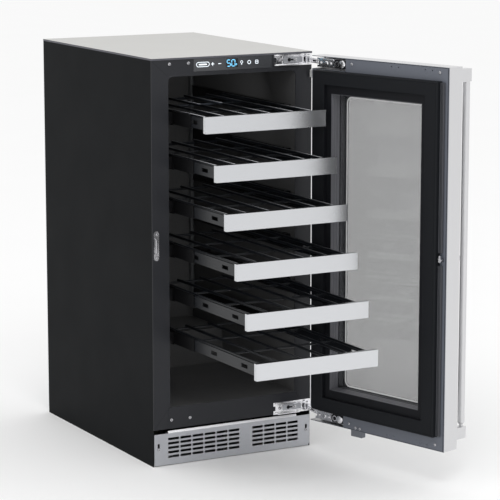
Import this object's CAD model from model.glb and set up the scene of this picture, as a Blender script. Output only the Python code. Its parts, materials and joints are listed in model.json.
import json
import math

import bmesh
import bpy
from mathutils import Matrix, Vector


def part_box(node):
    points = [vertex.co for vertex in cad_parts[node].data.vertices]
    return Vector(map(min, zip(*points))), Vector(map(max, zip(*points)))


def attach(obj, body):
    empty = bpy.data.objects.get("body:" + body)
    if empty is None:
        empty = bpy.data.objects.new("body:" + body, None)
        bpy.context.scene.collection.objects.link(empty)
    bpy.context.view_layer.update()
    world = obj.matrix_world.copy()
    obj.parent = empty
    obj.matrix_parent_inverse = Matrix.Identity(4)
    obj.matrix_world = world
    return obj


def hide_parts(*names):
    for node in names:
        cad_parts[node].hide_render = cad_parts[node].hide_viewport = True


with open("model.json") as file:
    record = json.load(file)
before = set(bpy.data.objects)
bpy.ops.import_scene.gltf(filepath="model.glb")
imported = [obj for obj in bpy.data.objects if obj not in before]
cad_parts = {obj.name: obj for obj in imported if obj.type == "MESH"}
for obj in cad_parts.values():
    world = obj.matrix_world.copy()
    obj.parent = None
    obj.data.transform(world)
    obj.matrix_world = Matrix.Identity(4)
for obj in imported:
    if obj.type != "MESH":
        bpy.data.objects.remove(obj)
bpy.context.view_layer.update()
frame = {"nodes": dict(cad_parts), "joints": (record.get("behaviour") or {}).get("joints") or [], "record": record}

MM = 0.001
joints = {j["name"]: j for j in frame["joints"]}
slot_of = {s["node"]: s["material_slot"] for s in frame["record"]["subparts"]}

# The open door has its own directions: across its width, inward through it, and up.
HINGE = Vector(joints["door_swing"]["pos_m"])
INWARD = Vector(joints["lock_turn"]["axis"]).normalized()
ACROSS = Vector((-INWARD.y, INWARD.x, 0))
UP, TOWARDS = Vector((0, 0, 1)), Vector((0, -1, 0))

FACE_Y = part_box("face_frame")[0].y     # the cabinet's front face

# Millimetres. Heights are above the floor, and door places are across it from the hinge edge.
HINGE_MIDS = (843.0, 92.8)             # middle heights of the upper and the lower hinge
DOOR_PIN = (38.0, 27.0)                # place across and depth of the pins in the door
PANEL_DEPTH = 37.05                    # the inner panel's face, in from the door's outer face


def door(t, s, z):
    """Row-frame point from millimetres across the door, inward from its outer face, and up."""
    return Vector((HINGE.x, HINGE.y, 0)) + ACROSS * t * MM + INWARD * s * MM + Vector((0, 0, z * MM))


# ---------------------------------------------------------------- finishes
def node(tree, kind, **values):
    """Adds a shader node; keys naming an input set that input, others set the node's property."""
    made = tree.nodes.new(kind)
    for key, value in values.items():
        name = key.replace("_", " ")
        if name in made.inputs:
            made.inputs[name].default_value = value
        else:
            setattr(made, key, value)
    return made


def blank(name, **sockets):
    """A material with a Principled shader whose uniform values sit on its own sockets."""
    made = bpy.data.materials.new(name)
    made.use_nodes = True
    tree = made.node_tree
    shader = tree.nodes["Principled BSDF"]
    for key, value in sockets.items():
        shader.inputs[key.replace("_", " ")].default_value = value
    return made, tree, shader


def shade(colour, factor):
    """The colour made lighter or darker, with full alpha."""
    return (*(min(1.0, c * factor) for c in colour), 1)


def finish(name, colour, rough, grain, stretch=(1, 1, 1), tone=0.08, spread=0.06, relief=0.15,
           depth=0.05, cells=False, **sockets):
    """A procedural finish: a grain of that size in mm, stretched along the axes, varies the colour,
    the roughness and the relief, and broad smudges 90 mm across vary the roughness again."""
    made, tree, shader = blank(name, **sockets)
    link = tree.links.new
    where = node(tree, "ShaderNodeTexCoord")
    scaled = node(tree, "ShaderNodeMapping", Scale=[1 / (grain * MM * k) for k in stretch])
    link(where.outputs["Object"], scaled.inputs["Vector"])
    if cells:
        fine = node(tree, "ShaderNodeTexVoronoi", Scale=1.0)
        fine_out = fine.outputs["Color"]
        height = fine.outputs["Distance"]
    else:
        fine = node(tree, "ShaderNodeTexNoise", Scale=1.0, Detail=5.0, Roughness=0.6)
        fine_out = height = fine.outputs["Fac"]
    link(scaled.outputs["Vector"], fine.inputs["Vector"])
    ramp = node(tree, "ShaderNodeValToRGB")
    ramp.color_ramp.elements[0].position, ramp.color_ramp.elements[1].position = 0.25, 0.75
    ramp.color_ramp.elements[0].color = shade(colour, 1 - tone)
    ramp.color_ramp.elements[1].color = shade(colour, 1 + tone)
    link(fine_out, ramp.inputs["Fac"])
    link(ramp.outputs["Color"], shader.inputs["Base Color"])
    broad = node(tree, "ShaderNodeTexNoise", Scale=11.0, Detail=3.0)
    link(where.outputs["Object"], broad.inputs["Vector"])
    both = node(tree, "ShaderNodeMath", operation="ADD")
    link(fine_out, both.inputs[0])
    link(broad.outputs["Fac"], both.inputs[1])
    ranged = node(tree, "ShaderNodeMapRange")
    for key, value in (("From Min", 0.5), ("From Max", 1.5), ("To Min", rough - spread),
                       ("To Max", rough + spread)):
        ranged.inputs[key].default_value = value
    link(both.outputs["Value"], ranged.inputs["Value"])
    link(ranged.outputs["Result"], shader.inputs["Roughness"])
    bump = node(tree, "ShaderNodeBump", Strength=relief, Distance=depth * MM)
    link(height, bump.inputs["Height"])
    link(bump.outputs["Normal"], shader.inputs["Normal"])
    return made


def overpaint(made, share, colour):
    """Lays a colour over a finish's own, as much as the share socket says."""
    tree = made.node_tree
    shader = tree.nodes["Principled BSDF"]
    mix = node(tree, "ShaderNodeMix", data_type="RGBA")
    mix.inputs[7].default_value = colour
    tree.links.new(share, mix.inputs[0])
    tree.links.new(shader.inputs["Base Color"].links[0].from_socket, mix.inputs[6])
    tree.links.new(mix.outputs[2], shader.inputs["Base Color"])
    return made


def axes_of(tree, reading):
    """The X, Y and Z of a texture coordinate."""
    where = node(tree, "ShaderNodeTexCoord")
    split = node(tree, "ShaderNodeSeparateXYZ")
    tree.links.new(where.outputs[reading], split.inputs["Vector"])
    return split.outputs


def compare(tree, operation, reading, edge):
    """1 where the reading is past the edge, 0 elsewhere."""
    test = node(tree, "ShaderNodeMath", operation=operation)
    test.inputs[1].default_value = edge
    tree.links.new(reading, test.inputs[0])
    return test.outputs["Value"]


def product(tree, one, two):
    both = node(tree, "ShaderNodeMath", operation="MULTIPLY")
    tree.links.new(one, both.inputs[0])
    tree.links.new(two, both.inputs[1])
    return both.outputs["Value"]


def ramp_down(tree, reading, start, end, last):
    """1 where the reading is start or less, falling to last where it is end or more."""
    fade = node(tree, "ShaderNodeMapRange")
    for key, value in (("From Min", start), ("From Max", end), ("To Min", 1), ("To Max", last)):
        fade.inputs[key].default_value = value
    tree.links.new(reading, fade.inputs["Value"])
    return fade.outputs["Result"]


ALONG_X, ALONG_Y, ALONG_Z = (60, 1, 1), (1, 40, 1), (1, 1, 60)      # how a grain is drawn out
LOOK = {}


def add_look(name, *values, **more):
    """Keeps a finish under its slot's name: its colour, roughness, grain in mm, and so on."""
    LOOK[name] = finish(name, *values, **more)


# Cabinet
add_look("case_black", (0.0062, 0.007, 0.0078), 0.5, 0.7, tone=0.25, relief=0.25,
         Specular_IOR_Level=0.03)
add_look("lid_grey", (0.515, 0.512, 0.497), 0.55, 1.1, tone=0.015, relief=0.1, Specular_IOR_Level=0.3)
add_look("zinc_sheet", (0.50, 0.51, 0.52), 0.42, 8, tone=0.07, spread=0.1, relief=0.05, cells=True,
         Metallic=0.9)
add_look("frame_grey", (0.0215, 0.0225, 0.0262), 0.36, 0.5, tone=0.2, relief=0.25, spread=0.08,
         Specular_IOR_Level=0.22)
add_look("liner_grey", (0.085, 0.085, 0.086), 0.42, 1.4, tone=0.1, relief=0.35, cells=True,
         Specular_IOR_Level=0.3)
add_look("foam", (0.62, 0.52, 0.30), 0.9, 2.5, tone=0.15, relief=0.8, depth=0.5, cells=True)
add_look("fascia_black", (0.038, 0.040, 0.045), 0.27, 0.4, tone=0.1, relief=0.1, Coat_Weight=0.3,
         Coat_Roughness=0.2)
add_look("display", (0.008, 0.009, 0.012), 0.12, 0.5, tone=0.1, relief=0.02, spread=0.03)
add_look("icon_print", (0.80, 0.85, 0.88), 0.5, 0.5, tone=0.03, Emission_Strength=0.55,
         Emission_Color=(0.80, 0.90, 1.0, 1))

# Metal fittings and inner works
add_look("zinc_hinge", (0.86, 0.86, 0.88), 0.13, 6, tone=0.06, spread=0.06, relief=0.5, depth=0.3,
         Metallic=1.0)
add_look("grille_steel", (0.49, 0.50, 0.53), 0.45, 0.35, ALONG_X, tone=0.10, relief=0.2, Metallic=1.0)
add_look("screw_steel", (0.5, 0.5, 0.52), 0.25, 0.8, tone=0.12, Metallic=1.0)
add_look("foot_nylon", (0.025, 0.025, 0.026), 0.55, 0.9, tone=0.2, relief=0.3)
add_look("compressor_black", (0.014, 0.014, 0.015), 0.3, 2.2, tone=0.2, relief=0.3)
add_look("fin_aluminium", (0.68, 0.69, 0.70), 0.38, 0.6, tone=0.1, Metallic=1.0)
add_look("black_plastic", (0.022, 0.022, 0.024), 0.5, 0.8, tone=0.2, relief=0.3)
add_look("pan_plastic", (0.55, 0.55, 0.53), 0.5, 1.0, tone=0.04, relief=0.2)
add_look("light_diffuser", (0.12, 0.125, 0.13), 0.4, 2.0, ALONG_Z, tone=0.1)

# Racks
add_look("slide_black", (0.004, 0.004, 0.0045), 0.34, 0.6, ALONG_Y, tone=0.2, Specular_IOR_Level=0.2)
add_look("slide_grey", (0.008, 0.009, 0.012), 0.34, 0.6, ALONG_Y, tone=0.2, Specular_IOR_Level=0.25)
add_look("trim_steel", (0.63, 0.64, 0.66), 0.22, 0.28, ALONG_X, tone=0.05, relief=0.25, Metallic=1.0)

# Door
add_look("door_steel", (0.67, 0.67, 0.68), 0.42, 0.28, ALONG_Z, tone=0.04, relief=0.2, Metallic=1.0)
add_look("panel_slate", (0.105, 0.115, 0.14), 0.42, 0.6, tone=0.08, relief=0.15, Specular_IOR_Level=0.5)
add_look("liner_black", (0.0075, 0.008, 0.010), 0.5, 0.9, tone=0.2, relief=0.3, Specular_IOR_Level=0.12)
add_look("gasket_rubber", (0.0085, 0.0095, 0.0115), 0.55, 1.2, tone=0.15, relief=0.2,
         Specular_IOR_Level=0.12)
add_look("glass_tint", (0.085, 0.09, 0.095), 0.04, 60, tone=0.02, spread=0.01, relief=0.0, Alpha=0.26)
add_look("spacer", (0.08, 0.08, 0.09), 0.4, 0.6, ALONG_Z, tone=0.1, Metallic=0.6)
add_look("gasket_side", (0.052, 0.054, 0.062), 0.5, 1.2, tone=0.12, relief=0.2)
add_look("reveal_grey", (0.105, 0.106, 0.118), 0.42, 1.0, tone=0.1, relief=0.2)

# Small details
add_look("bead_steel", (0.9, 0.9, 0.9), 0.3, 0.5, tone=0.03, Emission_Strength=0.45,
         Emission_Color=(1, 1, 1, 1))
add_look("digit_glow", (0.10, 0.45, 0.75), 0.5, 0.5, tone=0.05, Emission_Strength=1.0,
         Emission_Color=(0.24, 0.66, 0.95, 1))
add_look("chrome_lip", (0.9, 0.9, 0.92), 0.3, 0.4, ALONG_X, tone=0.03, Metallic=0.3)
add_look("white_nylon", (0.85, 0.85, 0.85), 0.45, 0.8, tone=0.03, relief=0.1)
add_look("bracket_grey", (0.125, 0.135, 0.155), 0.45, 0.7, tone=0.1, relief=0.2)

# The lid's folded edges are in shade: below its top skin it is dark.
LID_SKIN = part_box("top_panel")[1].z - 0.1 * MM
LID_EDGE = (0.09, 0.09, 0.105, 1)
lid_tree = LOOK["lid_grey"].node_tree
below_skin = compare(lid_tree, "LESS_THAN", axes_of(lid_tree, "Object")["Z"], LID_SKIN)
overpaint(LOOK["lid_grey"], below_skin, LID_EDGE)

RUB_EDGE = 0.86                    # wires are bright where they face up more than this
RUB_LENGTH = 0.15                  # and least bright from this many metres behind the rack's front
RUB_LEAST = 0.08
RUBBED = (1.0, 0.8, 0.4, 0.16, 0.08, 0.05)      # from the top rack down: the upper ones are used most
WIRE_SHOWN = 3.4 * MM              # the wires rise this far above the slide members


def rack_look(rack_node):
    """Gloss black members and wires. Bottles have rubbed the wires' tops bright, most of all in front."""
    low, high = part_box(rack_node)
    made = finish(f"{rack_node}_steel", (0.006, 0.007, 0.009), 0.30, 0.6, ALONG_Y, tone=0.2,
                  Specular_IOR_Level=0.3)
    tree = made.node_tree
    place, facing = axes_of(tree, "Object"), axes_of(tree, "Normal")
    on_wire = product(tree, compare(tree, "GREATER_THAN", place["Z"], high.z - WIRE_SHOWN),
                      compare(tree, "GREATER_THAN", facing["Z"], RUB_EDGE))
    fade = ramp_down(tree, place["Y"], low.y, low.y + RUB_LENGTH, RUB_LEAST)
    rack = int(rack_node.split("_")[1])
    return overpaint(made, product(tree, on_wire, fade), shade((0.95, 0.96, 1.0), RUBBED[rack - 1]))


for name, ob in frame["nodes"].items():
    is_rack = name.startswith("rack_") and name.endswith("_frame")
    ob.data.materials.clear()
    ob.data.materials.append(rack_look(name) if is_rack else LOOK[slot_of[name]])


# ---------------------------------------------------------------- mesh helpers
CRISP = math.radians(30)           # edges sharper than this stay crisp


def piece(name, bm, body, slot, *stands_for, look=None):
    """Makes the mesh an object that rides on a body, with the slot's finish or a look of its own."""
    bmesh.ops.remove_doubles(bm, verts=bm.verts, dist=1e-7)
    bmesh.ops.recalc_face_normals(bm, faces=bm.faces)
    mesh = bpy.data.meshes.new(name)
    bm.to_mesh(mesh)
    bm.free()
    mesh.polygons.foreach_set("use_smooth", [True] * len(mesh.polygons))
    mesh.set_sharp_from_angle(angle=CRISP)
    mesh.materials.append(LOOK[look or slot])
    ob = bpy.data.objects.new(name, mesh)
    bpy.context.scene.collection.objects.link(ob)
    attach(ob, body)
    if stands_for:
        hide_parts(*stands_for)


def skin(bm, loops, closed=False):
    """Joins rings of points, all of one length, into a solid with flat ends, or a torus if closed."""
    rings = [[bm.verts.new(p) for p in loop] for loop in loops]
    pairs = list(zip(rings, rings[1:] + rings[:1])) if closed else list(zip(rings, rings[1:]))
    for one, two in pairs:
        for k in range(len(one)):
            j = (k + 1) % len(one)
            bm.faces.new((one[k], one[j], two[j], two[k]))
    if not closed:
        bm.faces.new(rings[0])
        bm.faces.new(rings[-1])


def slab(bm, place, outline, low, high):
    """An outline of (a, b) points from depth low to high, where place(a, b, depth) gives the point."""
    skin(bm, [[place(a, b, c) for a, b in outline] for c in (low, high)])


def hoop(bm, place, outer, inner, low, high):
    """A flat ring between two outlines with as many points each."""
    loops = [[place(a, b, low) for a, b in outer], [place(a, b, high) for a, b in outer],
             [place(a, b, high) for a, b in inner], [place(a, b, low) for a, b in inner]]
    skin(bm, loops, closed=True)


def rectangle(a0, a1, b0, b1, radius=0.0):
    """Corner points of a rectangle, its corners rounded to radius in six steps."""
    steps = 6
    if radius <= 0:
        return [(a0, b0), (a1, b0), (a1, b1), (a0, b1)]
    points = []
    for a, b, start in ((a1 - radius, b0 + radius, -90), (a1 - radius, b1 - radius, 0),
                        (a0 + radius, b1 - radius, 90), (a0 + radius, b0 + radius, 180)):
        for k in range(steps + 1):
            turn = math.radians(start + 90 * k / steps)
            points.append((a + radius * math.cos(turn), b + radius * math.sin(turn)))
    return points


def about(a, b, half_a, half_b, radius=0.0):
    """A rectangle round a middle point."""
    return rectangle(a - half_a, a + half_a, b - half_b, b + half_b, radius)


def strip(a0, a1, mid, half, radius=0.0):
    """A rectangle from a0 to a1, half above and below a middle height."""
    return rectangle(a0, a1, mid - half, mid + half, radius)


def circle(a, b, radius, sides=24):
    """Points of a circle."""
    turns = (math.tau * k / sides for k in range(sides))
    return [(a + radius * math.cos(t), b + radius * math.sin(t)) for t in turns]


def framed(bm, place, profile, outer, inner, radius=0.0):
    """A mitred frame: each profile point (share, depth) lies that share of the way from the outer
    rectangle to the inner one. The corners are rounded to radius."""
    loops = []
    for share, depth in profile:
        a0, a1, b0, b1 = (o + share * (i - o) for o, i in zip(outer, inner))
        loops.append([place(a, b, depth) for a, b in rectangle(a0, a1, b0, b1, radius)])
    skin(bm, loops, closed=True)


def turned(bm, centre, axis, profile, sides=24):
    """A solid of revolution from (radius, height) points in mm along an axis, closed at both ends."""
    axis = Vector(axis).normalized()
    aside = axis.orthogonal().normalized()
    across = axis.cross(aside)
    loops = []
    for radius, height in profile:
        mid = centre + axis * height * MM
        loops.append([mid + (aside * math.cos(t) + across * math.sin(t)) * radius * MM
                      for t in (math.tau * k / sides for k in range(sides))])
    skin(bm, loops)


SCREW_CROWN = 1.06                 # height of a screw head's crown, in shares of its rise


def screw(bm, centre, axis, radius, rise, shank):
    """A domed cross-recess screw: its head's foot at centre, its shank running back."""
    axis = Vector(axis).normalized()
    aside = axis.orthogonal().normalized()
    across = axis.cross(aside)
    sides = 24
    rings = ((0.45, -shank), (0.45, 0), (1, 0), (1, 0.35), (0.93, 0.68), (0.78, 0.9), (0.55, 1),
             (0.34, 1.04), (0.16, SCREW_CROWN), (0.05, SCREW_CROWN))
    loops = []
    for share, height in rings:
        loop = []
        for k in range(sides):
            turn = math.tau * k / sides
            x, y = share * math.cos(turn), share * math.sin(turn)
            in_recess = share < 0.6 and height > 0.5 and min(abs(x), abs(y)) < 0.1
            lift = height * rise if height > 0 else height
            lift = lift - 0.55 * rise if in_recess else lift
            loop.append(centre + (axis * lift + (aside * x + across * y) * radius) * MM)
        loops.append(loop)
    skin(bm, loops)


def islands(cad_node):
    """The separate solids of a CAD node, each as a list of its points, from the lowest solid up."""
    bm = bmesh.new()
    bm.from_mesh(frame["nodes"][cad_node].data)
    bmesh.ops.remove_doubles(bm, verts=bm.verts, dist=1e-6)
    left, found = set(bm.verts), []
    while left:
        seed = left.pop()
        group, edge = [seed], [seed]
        while edge:
            near = {e.other_vert(v) for v in edge for e in v.link_edges} & left
            left -= near
            edge = list(near)
            group += edge
        found.append([v.co.copy() for v in group])
    bm.free()
    return sorted(found, key=lambda solid: min((round(p.z, 4), round(p.x, 4), round(p.y, 4))
                                               for p in solid))


def recessed_screws(name, cad_node, body, outward):
    """Cross-recess screws where a CAD node has plain ones, all pointing outward."""
    bm = bmesh.new()
    sideways = Vector((-outward.y, outward.x, 0))
    for points in islands(cad_node):
        out = [p.dot(outward) for p in points]
        side = [p.dot(sideways) for p in points]
        high = [p.z for p in points]
        radius = (max(high) - min(high)) / 2 / MM
        rise = 0.42 * radius
        head = rise * SCREW_CROWN
        centre = (outward * (max(out) - head * MM) + sideways * (max(side) + min(side)) / 2
                  + UP * (max(high) + min(high)) / 2)
        screw(bm, centre, outward, radius, rise, (max(out) - min(out)) / MM - head)
    piece(name, bm, body, "screw_steel", cad_node)


def soften(cad_node, width):
    """Rounds the sharp edges of a CAD node by that many mm, without touching its own mesh."""
    ob = frame["nodes"][cad_node]
    weld = ob.modifiers.new("weld", "WELD")
    weld.merge_threshold = 1e-5
    bevel = ob.modifiers.new("edges", "BEVEL")
    bevel.width, bevel.segments, bevel.limit_method = width * MM, 2, "ANGLE"
    bevel.angle_limit = math.radians(40)
    bevel.use_clamp_overlap = True
    ob.modifiers.new("shading", "WEIGHTED_NORMAL").keep_sharp = True


# ---------------------------------------------------------------- front of the cabinet
def front(x, z, depth):
    """Point in front of the cabinet's face, depth mm towards the viewer."""
    return Vector((x * MM, FACE_Y - depth * MM, z * MM))


def lit_segment(bm, x, z, length, upright, depths):
    """One bar of a numeral, pointed at both ends."""
    half, thick = length / 2, 0.75
    outline = [(-half, 0), (-half + thick, -thick), (half - thick, -thick), (half, 0),
               (half - thick, thick), (-half + thick, thick)]
    if upright:
        outline = [(b, a) for a, b in outline]
    slab(bm, front, [(x + a, z + b) for a, b in outline], *depths)


def numerals():
    """The lit figures 50 and a degree ring behind the display window's glass."""
    low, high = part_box("display_window")
    wide, tall, gap = 7.6, 13.0, 3.2
    left, foot = low.x / MM + gap, (low.z + high.z) / 2 / MM - tall / 2
    glass = (FACE_Y - low.y) / MM
    depths = (glass - 0.05, glass + 0.12)
    bars = {"top": (wide / 2, tall, 0), "mid": (wide / 2, tall / 2, 0), "foot": (wide / 2, 0, 0),
            "top_left": (0, tall * 0.75, 1), "top_right": (wide, tall * 0.75, 1),
            "low_left": (0, tall * 0.25, 1), "low_right": (wide, tall * 0.25, 1)}
    figures = ("top top_left mid low_right foot", "top top_left top_right low_left low_right foot")
    bm = bmesh.new()
    for k, names in enumerate(figures):
        for name in names.split():
            a, b, upright = bars[name]
            length = tall / 2 - 0.7 if upright else wide - 0.9
            lit_segment(bm, left + k * (wide + gap) + a, foot + b, length, upright, depths)
    ring = (left + 2 * wide + gap + 3.1, foot + 3.4)
    hoop(bm, front, circle(*ring, 1.7, 16), circle(*ring, 0.8, 16), *depths)
    piece("display_numerals", bm, "cabinet", "icon_print", look="digit_glow")


def plus_sign(a, b, arm, half):
    """Corner points of a plus whose arms reach arm from its middle and are 2 half wide."""
    quarter, outline = [(-arm, -half), (-half, -half), (-half, -arm)], []
    for _ in range(4):
        outline += [(a + x, b + y) for x, y in quarter]
        quarter = [(-y, x) for x, y in quarter]
    return outline


def touch_marks():
    """Printed marks on the fascia: an empty oval badge, plus, minus, lamp, ring and padlock."""
    low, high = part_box("touch_icons")
    z = (low.z + high.z) / 2 / MM
    proud = ((FACE_Y - high.y) / MM, (FACE_Y - low.y) / MM)
    badge, plus, minus, lamp, power, lock = -70.5, -47.8, -31.3, 20.3, 38.1, 56.1
    arm, half = 3.5, 0.7
    bm = bmesh.new()
    hoop(bm, front, about(badge, z, 15.5, 5.2, 5.1), about(badge, z, 14.2, 3.9, 3.8), *proud)
    slab(bm, front, about(badge, z, 9.5, 1.5, 1.4), *proud)
    slab(bm, front, plus_sign(plus, z, arm, half), *proud)
    slab(bm, front, about(minus, z, arm, half), *proud)
    hoop(bm, front, circle(lamp, z + 1.2, 3.1), circle(lamp, z + 1.2, 2.0), *proud)
    slab(bm, front, rectangle(lamp - 1.2, lamp + 1.2, z - 4.2, z - 2.3), *proud)
    hoop(bm, front, circle(power, z, 4.2), circle(power, z, 2.8), *proud)
    hoop(bm, front, about(lock, z, 3.6, 4.0, 1.4), about(lock, z, 2.4, 2.8, 0.6), *proud)
    slab(bm, front, about(lock, z, 1.8, 0.6), *proud)
    piece("touch_marks", bm, "cabinet", "icon_print", "touch_icons")


def frame_seams():
    """Fine dark mitre joints from the face frame's corners to the opening's corners."""
    low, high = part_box("face_frame")
    hole_low, hole_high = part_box("inner_liner")
    half, start = 0.3, 0.06
    bm = bmesh.new()
    for x, inner_x in ((low.x, hole_low.x), (high.x, hole_high.x)):
        for z, inner_z in ((high.z, hole_high.z), (low.z, hole_low.z)):
            x0, z0, x1, z1 = (v / MM for v in (x, z, inner_x, inner_z))
            x0, z0 = x0 + (x1 - x0) * start, z0 + (z1 - z0) * start
            joint = [(x0 - half, z0), (x0 + half, z0), (x1 + half, z1), (x1 - half, z1)]
            slab(bm, front, joint, -0.1, 0.04)
    piece("frame_seams", bm, "cabinet", "liner_black")


def grille_lip():
    """The bright bent lip along the middle of the toe grille's top edge."""
    top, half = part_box("toe_grille")[1].z / MM, 155.0
    lip = [(top - 0.1, 0.1), (top + 4.6, -1.6), (top + 4.6, -2.6), (top - 0.1, -1.1)]
    bm = bmesh.new()
    skin(bm, [[front(x, z, depth) for z, depth in lip] for x in (-half, half)])
    piece("grille_lip", bm, "cabinet", "grille_steel", look="chrome_lip")


def hinge_hardware():
    """On each hinge plate: rolled ridges, a sunk grey field with a screw and dark keyholes."""
    plate = 2.0
    field_top = plate + 0.3
    ridge = [(2.1 * math.cos(t), 1.7 * math.sin(t)) for t in (math.pi * k / 10 for k in range(11))]
    ridge_ends = ((99, 0.35), (102, 1), (160, 1), (166, 0.35))
    bright, field, dark, bumper = bmesh.new(), bmesh.new(), bmesh.new(), bmesh.new()
    for mid in HINGE_MIDS:
        for z in (mid - 10.2, mid + 10.2):
            skin(bright, [[front(x, z + share * a, plate + share * b) for a, b in ridge]
                          for x, share in ridge_ends])
        framed(bright, front, ((0, plate), (0.3, plate + 1.1), (0.8, plate + 1.1), (1, plate)),
               (116, 168, mid - 7.8, mid + 7.8), (119, 165, mid - 5.6, mid + 5.6), 2.2)
        slab(field, front, strip(118, 166, mid, 6.5, 2), plate, field_top)
        slab(dark, front, strip(129.5, 137.5, mid, 4, 3.9), field_top, field_top + 0.15)
        slab(dark, front, strip(135, 143, mid, 1.6, 0.5), field_top, field_top + 0.12)
        slab(dark, front, strip(168.5, 172, mid, 4.5, 1.7), plate + 0.02, plate + 0.4)
        screw(bright, front(149, mid, field_top), TOWARDS, 3.0, 1.5, 1.2)
    piece("hinge_ridges", bright, "cabinet", "zinc_hinge")
    piece("hinge_fields", field, "cabinet", "zinc_hinge", look="grille_steel")
    piece("hinge_keyholes", dark, "cabinet", "black_plastic", look="liner_black")
    reach = (FACE_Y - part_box("hinge_plates")[0].y) / MM
    slab(bumper, front, rectangle(184.6, 188.8, 803.5, 820, 1.2), 0, min(12, reach))
    piece("hinge_bumper", bumper, "cabinet", "light_diffuser", look="white_nylon")


def back_fixings():
    """Screws round the back panel, and the pressed rim round its vents."""
    low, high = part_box("back_panel")
    inset, column, top_pair = 14, 174, 60

    def behind(x, z, depth):
        return Vector((x * MM, high.y + depth * MM, z * MM))

    screws, rim = bmesh.new(), bmesh.new()
    top = high.z / MM - inset
    heights = (low.z / MM + inset, (low.z + high.z) / MM / 2, top)
    places = [(x, z) for z in heights for x in (-column, column)]
    for x, z in places + [(-top_pair, top), (top_pair, top)]:
        screw(screws, behind(x, z, 0), -TOWARDS, 3.4, 1.6, 1.0)
    pressed = ((0, 0), (0.3, 0.8), (0.7, 0.8), (1, 0))
    framed(rim, behind, pressed, (-155, 155, 27, 133), (-150, 150, 32, 128), 4)
    piece("back_screws", screws, "cabinet", "screw_steel")
    piece("vent_rim", rim, "cabinet", "zinc_sheet")


def hinge_links():
    """Side plates, rivets and dark gaps on the swinging arms, seen from the hinge's open side."""
    pin = Vector(joints["hinge_arm_swing"]["pos_m"])
    pin.z = 0
    way = (door(*DOOR_PIN, 0) - pin).normalized()
    out = Vector((way.y, -way.x, 0))
    half_arm = 6

    def arm(a, b, depth):
        return pin + (way * a + out * (half_arm + depth) + UP * b) * MM

    plates, dark = bmesh.new(), bmesh.new()
    for mid in HINGE_MIDS:
        framed(plates, arm, ((0, 0), (0, 1.2), (0.4, 1.6), (1, 1.6), (1, 0)),
               (14, 62, mid - 4.4, mid + 4.4), (19, 57, mid - 2.2, mid + 2.2), 1.5)
        for a, radius in ((26, 1.9), (50, 1.9), (70, 3.0)):
            rivet = ((radius, 0), (radius, 1.4), (radius * 0.7, 2.0), (0.2, 2.1))
            turned(plates, arm(a, mid, 0), out, rivet)
        for a0, a1 in ((9.5, 12.5), (64, 66), (75, 77)):
            slab(dark, arm, strip(a0, a1, mid, 4.4), 0, 0.3)
        slab(dark, arm, strip(31, 45, mid, 1.7, 1.5), 0, 0.4)
    piece("arm_plates", plates, "hinge_arms", "zinc_hinge")
    piece("arm_gaps", dark, "hinge_arms", "black_plastic", look="liner_black")


# ---------------------------------------------------------------- door
def inner_face(t, z, s):
    """Point of the door for outlines drawn across it and up, at depth s inward."""
    return door(t, s, z)


# Rectangles on the door: left, right, foot and top, across it and up.
GASKET_OUT, STEP = (17.5, 360.5, 107.5, 829.0), (50.0, 328.0, 137.0, 800.0)
WINDOW, PRINTED = (64.5, 313.5, 155.0, 782.0), (62.0, 316.0, 151.0, 786.0)
CLEAR, IN_BEAD = (70.0, 308.0, 157.0, 774.0), (72.4, 305.6, 159.4, 771.6)

# Profiles. A share of the way inward with a depth, or a place across with a depth.
CAP_PROFILE = ((0, 40.2), (0, 53.4), (0.02, 54.5), (0.055, 55), (0.13, 55), (0.14, 54.3), (0.15, 55),
               (0.96, 55), (1, 54.4), (1, 52.1), (0.078, 52.1), (0.078, 40.2))
SKIRT_RIBS = ((0.0, 40.1), (0.0, 44.6), (0.8, 45.8), (1.7, 44.6), (2.1, 42.2), (3.0, 41.8), (3.8, 44.4),
              (4.5, 45.4), (5.3, 44.2), (5.7, 42.2), (6.5, 42.2), (7.0, 44.6), (7.6, 45.9), (8.4, 45.9),
              (8.4, 40.1))
REVEAL_PROFILE = ((0, 22.1), (0, 46.7), (0.9, 46.7), (1, 46.2), (1, 39.4), (0.35, 38.9), (0.35, 38.1),
                  (1, 37.6), (1, 31.2), (0.35, 30.7), (0.35, 29.9), (1, 29.4), (1, 22.1))


def door_seal():
    """The magnetic gasket: a rounded lip, a flat cap with a fine groove, and ribbed side skirts."""
    bm = bmesh.new()
    framed(bm, inner_face, CAP_PROFILE, GASKET_OUT, STEP)
    piece("gasket_cap", bm, "door", "gasket_rubber", "door_gasket")
    foot, lock_foot, lock_top, top = 109.6, 459.8, 486.2, 826.9
    skirts = bmesh.new()
    for edge, way, spans in ((9, 1, ((foot, top),)), (369, -1, ((foot, lock_foot), (lock_top, top)))):
        for span in spans:
            skin(skirts, [[door(edge + way * a, s, z) for a, s in SKIRT_RIBS] for z in span])
    piece("gasket_skirts", skirts, "door", "gasket_rubber", look="gasket_side")


def door_window():
    """The grooved reveal round the panes, the black print on the outer pane and its bright metal edge."""
    reveal, mask, bead = bmesh.new(), bmesh.new(), bmesh.new()
    wall, pane = 0.9, 5.25
    left, right, foot, top = WINDOW
    framed(reveal, inner_face, REVEAL_PROFILE, WINDOW, (left + wall, right - wall, foot + wall, top - wall))
    piece("window_reveal", reveal, "door", "liner_black", look="reveal_grey")
    hoop(mask, inner_face, rectangle(*PRINTED, 4), rectangle(*CLEAR, 14), pane, pane + 0.15)
    piece("pane_print", mask, "door", "liner_black")
    hoop(bead, inner_face, rectangle(*CLEAR, 14), rectangle(*IN_BEAD, 11.6), pane, pane + 0.65)
    piece("window_bead", bead, "door", "door_steel", look="bead_steel")


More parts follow.
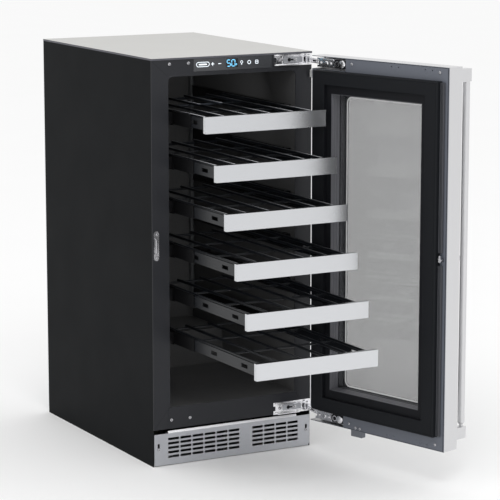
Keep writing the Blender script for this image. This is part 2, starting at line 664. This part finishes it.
def door_edge_seam():
    """The dark joint between the inner panel and the stainless shell, round the three open edges."""
    bm = bmesh.new()
    for edges in ((375.2, 376.6, 80, 855.5), (100, 376.6, 855.0, 855.7), (100, 376.6, 78.6, 79.3)):
        slab(bm, inner_face, rectangle(*edges), 39.6, 40.05)
    piece("panel_seam", bm, "door", "liner_black")


def coil(start, length, turns, radius, depth, height):
    """Centre line of a spring that lies across the door, twelve points to a turn."""
    points = turns * 12
    swing = [math.tau * k / 12 for k in range(points)]
    return [door(start + length * k / points, depth + radius * math.cos(t), height + radius * math.sin(t))
            for k, t in enumerate(swing)]


def wire(bm, path, radius, sides=6):
    """Round wire of that radius in mm along a path of points."""
    loops, side = [], None
    for k, point in enumerate(path):
        ahead = (path[min(k + 1, len(path) - 1)] - path[max(k - 1, 0)]).normalized()
        side = ahead.orthogonal() if side is None else side - ahead * side.dot(ahead)
        side.normalize()
        other = ahead.cross(side)
        loops.append([point + (side * math.cos(t) + other * math.sin(t)) * radius * MM
                      for t in (math.tau * j / sides for j in range(sides))])
    skin(bm, loops)


def door_hinge_links():
    """In each pocket of the door: cover plate, pivot cap, spring and adjusting screws."""
    cap = ((8.6, 0), (8.6, 1.4), (7.4, 2.6), (3.0, 2.9), (0.4, 2.9))
    stud = ((4.4, 0), (4.4, 1.0), (3.4, 1.7), (0.4, 1.8))
    sunk, cover = PANEL_DEPTH + 0.25, 38.3
    bm, dark = bmesh.new(), bmesh.new()
    for mid in HINGE_MIDS:
        slab(dark, inner_face, strip(63, 95, mid, 9, 1), PANEL_DEPTH, sunk)
        hoop(bm, inner_face, circle(72, mid, 6.5, 28), circle(72, mid, 4.2, 28), sunk, sunk + 1.6)
        slab(bm, inner_face, strip(20, 62, mid, 8.5, 2.5), PANEL_DEPTH, cover + 0.1)
        turned(bm, door(86, sunk, mid), INWARD, cap, 32)
        turned(bm, door(42, cover, mid), INWARD, stud)
        for t in (27, 55):
            screw(bm, door(t, cover, mid), INWARD, 2.6, 1.2, 0.6)
        wire(bm, coil(30, 32, 7, 3.1, 31, mid + 5.5), 0.7)
    piece("door_hinge_links", bm, "door", "zinc_hinge")
    piece("door_hinge_gaps", dark, "door", "black_plastic", look="liner_black")


# ---------------------------------------------------------------- making the pieces
numerals()
touch_marks()
frame_seams()
grille_lip()
hinge_hardware()
hinge_links()
back_fixings()
recessed_screws("front_screws", "cabinet_screws", "cabinet", TOWARDS)
recessed_screws("panel_screws", "door_screws", "door", INWARD)
door_seal()
door_window()
door_edge_seam()
door_hinge_links()
for number in range(1, 7):
    soften(f"rack_{number}_trim", 0.45)
for name, width in (("door_handle", 0.5), ("top_panel", 0.5), ("toe_grille", 0.25),
                    ("door_bracket", 0.3)):
    soften(name, width)

# ---------------------------------------------------------------- studio
FLOOR_HALF = 40.0
SKY_STRENGTH = 1.02


def pale_floor():
    """A wide plain floor, which isn't part of the object."""
    mesh = bpy.data.meshes.new("floor")
    bm = bmesh.new()
    bmesh.ops.create_grid(bm, x_segments=2, y_segments=2, size=FLOOR_HALF)
    bm.to_mesh(mesh)
    bm.free()
    floor = bpy.data.objects.new("floor", mesh)
    bpy.context.scene.collection.objects.link(floor)
    mesh.materials.append(finish("floor_paint", (0.93, 0.93, 0.93), 0.8, 400, tone=0.004, relief=0.0,
                                 Specular_IOR_Level=0.0))


def white_sky():
    """Even white light from all round."""
    world = bpy.data.worlds.new("studio")
    world.use_nodes = True
    back = world.node_tree.nodes["Background"]
    back.inputs["Color"].default_value = (1, 1, 1, 1)
    back.inputs["Strength"].default_value = SKY_STRENGTH
    bpy.context.scene.world = world


def panel_light(name, place, aim, size, watts):
    """A square soft light that faces a point."""
    data = bpy.data.lights.new(name, "AREA")
    data.shape, data.size, data.energy = "SQUARE", size, watts
    lamp = bpy.data.objects.new(name, data)
    lamp.location = place
    lamp.rotation_euler = (Vector(aim) - Vector(place)).to_track_quat("-Z", "Y").to_euler()
    lamp.visible_camera = lamp.visible_glossy = False
    bpy.context.scene.collection.objects.link(lamp)


def camera_at(place, turn, tilt, lens):
    """The camera, turned that many degrees from +Y towards +X and tilted down."""
    turn, tilt = math.radians(turn), math.radians(tilt)
    view = Vector((math.sin(turn) * math.cos(tilt), math.cos(turn) * math.cos(tilt), -math.sin(tilt)))
    data = bpy.data.cameras.new("camera")
    data.sensor_width, data.lens = 36.0, lens
    data.clip_end = 200
    camera = bpy.data.objects.new("camera", data)
    camera.location = place
    camera.rotation_euler = view.to_track_quat("-Z", "Y").to_euler()
    bpy.context.scene.collection.objects.link(camera)
    bpy.context.scene.camera = camera


pale_floor()
white_sky()
panel_light("key", (-0.6, -2.6, 3.0), (0, -0.2, 0.5), 1.6, 26)
panel_light("cavity", (0, -0.16, 0.78), (0, 0.2, 0.55), 0.07, 0.12)       # under the cabinet's roof
camera_at((-2.2485, -4.4629, 1.2960), 28.65, 10.11, 165.28)
bpy.context.scene.view_settings.view_transform = "Standard"
